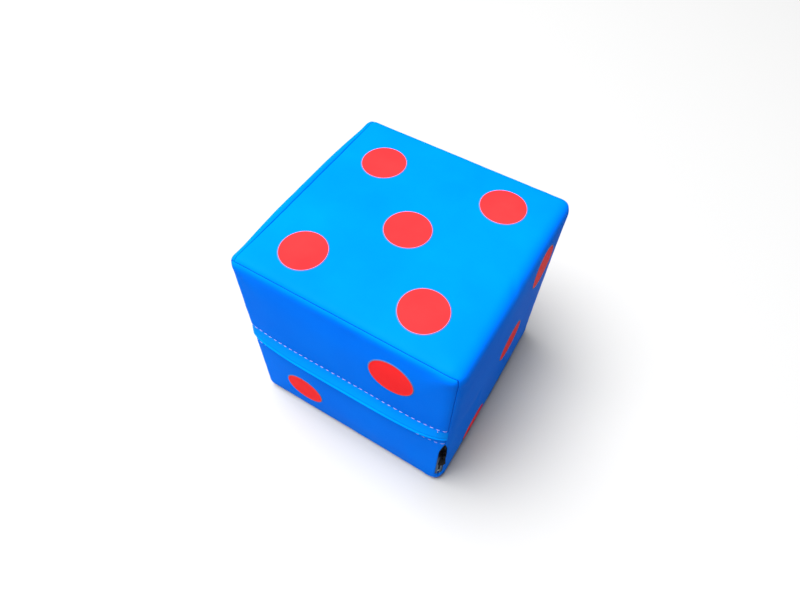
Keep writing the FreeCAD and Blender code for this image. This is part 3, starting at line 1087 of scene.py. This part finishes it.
for side, name, node in ((-1, "seam_stitches_front", "seam_thread_front"),
                         (1, "seam_stitches_back", "seam_thread_back")):
    seam_rows(name, node, [((1, 0, 0), (0, side, 1), centre), ((1, 0, 0), (0, side, -1), centre),
                           ((0, 0, 1), (-1, side, 0), centre), ((0, 0, 1), (1, side, 0), centre)])
closing_out = (-math.cos(closing_angle), 0, math.sin(closing_angle))
seam_rows("seam_stitches_closing", "seam_thread_closing",
          [((0, 1, 0), closing_out, (-seam_middle, 0, mid + seam_middle))])

# ---------------------------------------------------------------- Zip tapes
# Two lengths of grey woven polyester tape. From just below the pull's end upwards their colour is
# painted near black: painted shade, for the shade deep in the narrow top of the opening. They run
# along behind the flap and turn down behind the front right edge, sewn to the cover by the two
# rows of stitches.
tape_gap = 0.0012           # from the middle of the chain to each tape
tape_width = 0.0138
upright_width = 0.0096      # the tapes are folded narrower behind the upright edge
tape_inset = 0.0011
tape_thickness = 0.0005
tape_bead = 0.00022         # the corded edge next to the chain stands a little prouder
tape_bead_width = 0.0012
tape_step = 0.0016
zip_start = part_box("zip_tape_outer")[0].x
tape_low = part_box("zip_tape_outer")[0].z
corner_middle = mid - fold_round
tape_weave, tape_tree, tape_shader = new_material("grey_woven_tape", Roughness=0.85,
                                                  Specular_IOR_Level=0.2)
tape_place = tape_tree.nodes.new("ShaderNodeTexCoord")
ribs = wave_node(tape_tree, tape_place, "Z", 420.0, 0.6)
warp = wave_node(tape_tree, tape_place, "X", 520.0, 0.6)
weave = product(tape_tree, ribs, "Fac", warp, "Fac")
tape_tone = two_tone(tape_tree, weave, "Value", (0.10, 0.14, 0.19), (0.24, 0.30, 0.37),
                     tape_shader)
# Painted shade: from 0.052 m up, the tape's colour fades to near black, for the shade in the narrow
# top of the opening.
tape_heights = tape_tree.nodes.new("ShaderNodeSeparateXYZ")
wire(tape_tree, tape_place, "Object", tape_heights, "Vector")
tape_shade_share = map_range(tape_tree, tape_heights, "Z", 0.052, 0.060)
tape_painted_shade = tape_tree.nodes.new("ShaderNodeMix")
tape_painted_shade.data_type = "RGBA"
tape_painted_shade.inputs[7].default_value = (0.006, 0.008, 0.012, 1)
tape_tree.links.new(tape_shade_share.outputs["Result"], tape_painted_shade.inputs[0])
tape_tree.links.new(tape_tone.outputs[2], tape_painted_shade.inputs[6])
tape_tree.links.new(tape_painted_shade.outputs[2], tape_shader.inputs["Base Color"])
bump(tape_tree, weave, "Value", 0.7, 0.00012, tape_shader)


def on_edge_round(angle, height, depth):
    """A point behind the front right edge. The angle turns from the front face, 0, to the
    right face, a quarter turn."""
    outward = np.array((math.sin(angle), -math.cos(angle), 0))
    start = np.array((corner_middle, -corner_middle, height))
    return laid(start + outward * edge, -outward) - outward * depth


def chain_point(run, offset, depth):
    """A point of the chain: run along it from its left end, offset to the upper or right
    side, and depth below the cover's outer face."""
    radius = fold_round - depth
    flat_run = corner_middle - zip_start
    turn_run = radius * math.pi / 4
    height = zip_height + offset
    if run < flat_run:
        return on_front(zip_start + run, height) + np.array((0, depth, 0))
    if run < flat_run + turn_run:
        return on_edge_round((run - flat_run) / radius, height, depth)
    return on_edge_round(math.pi / 4 + offset / radius,
                         height - (run - flat_run - turn_run), depth)


def strip(name, place_of, length, width):
    """A flat woven strip: place_of gives each point from its run, its share across and its
    extra depth."""
    columns = int(length / tape_step)
    bpy.ops.mesh.primitive_grid_add(x_subdivisions=columns, y_subdivisions=8, size=1,
                                    location=(0, 0, 0))
    piece = bpy.context.object
    piece.name = name
    place = points(piece)
    for i, (along, side, _) in enumerate(place):
        share = side + 0.5
        bead = tape_bead * math.exp(-(share * width / tape_bead_width) ** 2)
        place[i] = place_of((along + 0.5) * length, share, tape_inset - bead)
    set_points(piece, place)
    outward = normals(piece).mean(0)
    if outward[1] > 0:
        flip(piece)
    finish_with(piece, "SOLIDIFY", thickness=tape_thickness, offset=-1.0)
    bpy.ops.object.shade_smooth()
    return piece


tape_edge_angle = upright_width / fold_round
for side, name, node in ((1, "tape_outer", "zip_tape_outer"), (-1, "tape_inner", "zip_tape_inner")):
    level_length = corner_middle - zip_start + fold_round * math.pi / 4
    level_length -= 0.0 if side > 0 else tape_gap

    def on_level(run, share, depth):
        return chain_point(min(run, level_length - 1e-6), side * (tape_gap + share * tape_width),
                           depth)

    def on_upright(run, share, depth):
        angle = math.pi / 4 + side * (tape_gap / fold_round + share * tape_edge_angle)
        return on_edge_round(angle, tape_low + run, depth)

    level_strip = strip(name, on_level, level_length, tape_width)
    upright_strip = strip(name + "_upright", on_upright,
                          zip_height + side * tape_gap - tape_low, upright_width)
    join([level_strip, upright_strip])
    give(level_strip, tape_weave)
    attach(level_strip, "cover")
    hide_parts(node)

# ---------------------------------------------------------------- Zip coils
# A nylon coil zip: one continuous monofilament on each tape, here a row of separate loops at
# the real pitch. The loops of both sides reach past the middle and mesh by turns.
coil_pitch = 0.0014
loop_half_width = 0.0011
loop_radius = 0.00042
loop_flatness = 0.50
loop_lean = 0.12
by_turns = 0.25             # of a pitch: how far each side's loops stand from the middle
coil_inset = 0.0023
coil_offset = 0.0010
nylon = mottled("black_nylon", 500.0, 2.0, (0.004, 0.005, 0.007), (0.014, 0.016, 0.020),
                Roughness=0.5, Specular_IOR_Level=0.15)[0]
upright_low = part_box("zip_coil_outer")[0].z

for side, name, node in ((1, "coil_outer", "zip_coil_outer"), (-1, "coil_inner", "zip_coil_inner")):
    radius = fold_round - coil_inset
    chain = corner_middle - zip_start + radius * math.pi / 4 + zip_height - upright_low
    count = int(chain / coil_pitch)
    bpy.ops.mesh.primitive_torus_add(major_segments=10, minor_segments=5, location=(0, 0, 0),
                                     major_radius=loop_half_width, minor_radius=loop_radius,
                                     rotation=(0, math.pi / 2, 0))
    coil = bpy.context.object
    coil.name = name
    bpy.ops.object.transform_apply(location=True, rotation=True, scale=True)
    place = points(coil)
    place[:, 2] *= loop_flatness
    place[:, 0] += coil_pitch * (0.5 + side * by_turns) + place[:, 1] * loop_lean
    set_points(coil, place)
    finish_with(coil, "ARRAY", count=count, use_relative_offset=False,
                use_constant_offset=True, constant_offset_displace=(coil_pitch, 0, 0))
    place = points(coil)
    for i, (run, width, rise) in enumerate(place):
        place[i] = chain_point(run, side * coil_offset + width, coil_inset - rise)
    set_points(coil, place)
    bpy.ops.object.shade_smooth()
    give(coil, nylon)
    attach(coil, "cover")
    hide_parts(node)

# ---------------------------------------------------------------- Zip stops
# Two small steel clips pressed over the ends of the chain.
stop_steel, steel_tree, steel_shader, steel_noise = mottled(
    "stop_steel", 900.0, 4.0, (0.42, 0.43, 0.45), (0.62, 0.63, 0.65), Metallic=1.0)
steel_sheen = map_range(steel_tree, steel_noise, "Fac", 0.3, 0.7, 0.25, 0.5)
wire(steel_tree, steel_sheen, "Result", steel_shader, "Roughness")


def softened(node, name, width, finish, body):
    """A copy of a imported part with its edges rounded, as cast or pressed metal has them."""
    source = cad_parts[node]
    made = bpy.data.objects.new(name, source.data.copy())
    bpy.context.scene.collection.objects.link(made)
    pick(made, "VERT", np.ones(len(made.data.vertices), bool))
    bpy.ops.mesh.remove_doubles(threshold=1e-6)
    bpy.ops.mesh.dissolve_limited(angle_limit=math.radians(3))
    leave()
    finish_with(made, "BEVEL", width=width, segments=3, limit_method="ANGLE",
                angle_limit=math.radians(35))
    bpy.ops.object.shade_smooth_by_angle(angle=math.radians(40))
    give(made, finish)
    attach(made, body)
    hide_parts(node)
    return made


for end in ("low", "left"):
    softened("zip_stop_" + end, "stop_" + end, 0.00025, stop_steel, "cover")

# ---------------------------------------------------------------- Slider and pull
# A black enamelled zinc slider with a bridge on its back, and a drop-shaped pull that hangs
# from a cross bar under the bridge.
enamel, enamel_tree, enamel_shader = new_material("black_enamel", Specular_IOR_Level=0.004)
enamel_rub = use_group(enamel_tree, rub_group, Marks_per_metre=400.0, Amount=0.8)
two_tone(enamel_tree, enamel_rub, "Mask", (0.0012, 0.0012, 0.0018), (0.010, 0.010, 0.012),
         enamel_shader)
enamel_sheen = map_range(enamel_tree, enamel_rub, "Mask", 0.0, 1.0, 0.32, 0.6)
wire(enamel_tree, enamel_sheen, "Result", enamel_shader, "Roughness")
softened("zip_slider", "slider", 0.00018, enamel, "slider")
softened("zip_pull", "pull", 0.00022, enamel, "pull")

bpy.data.objects.remove(form)
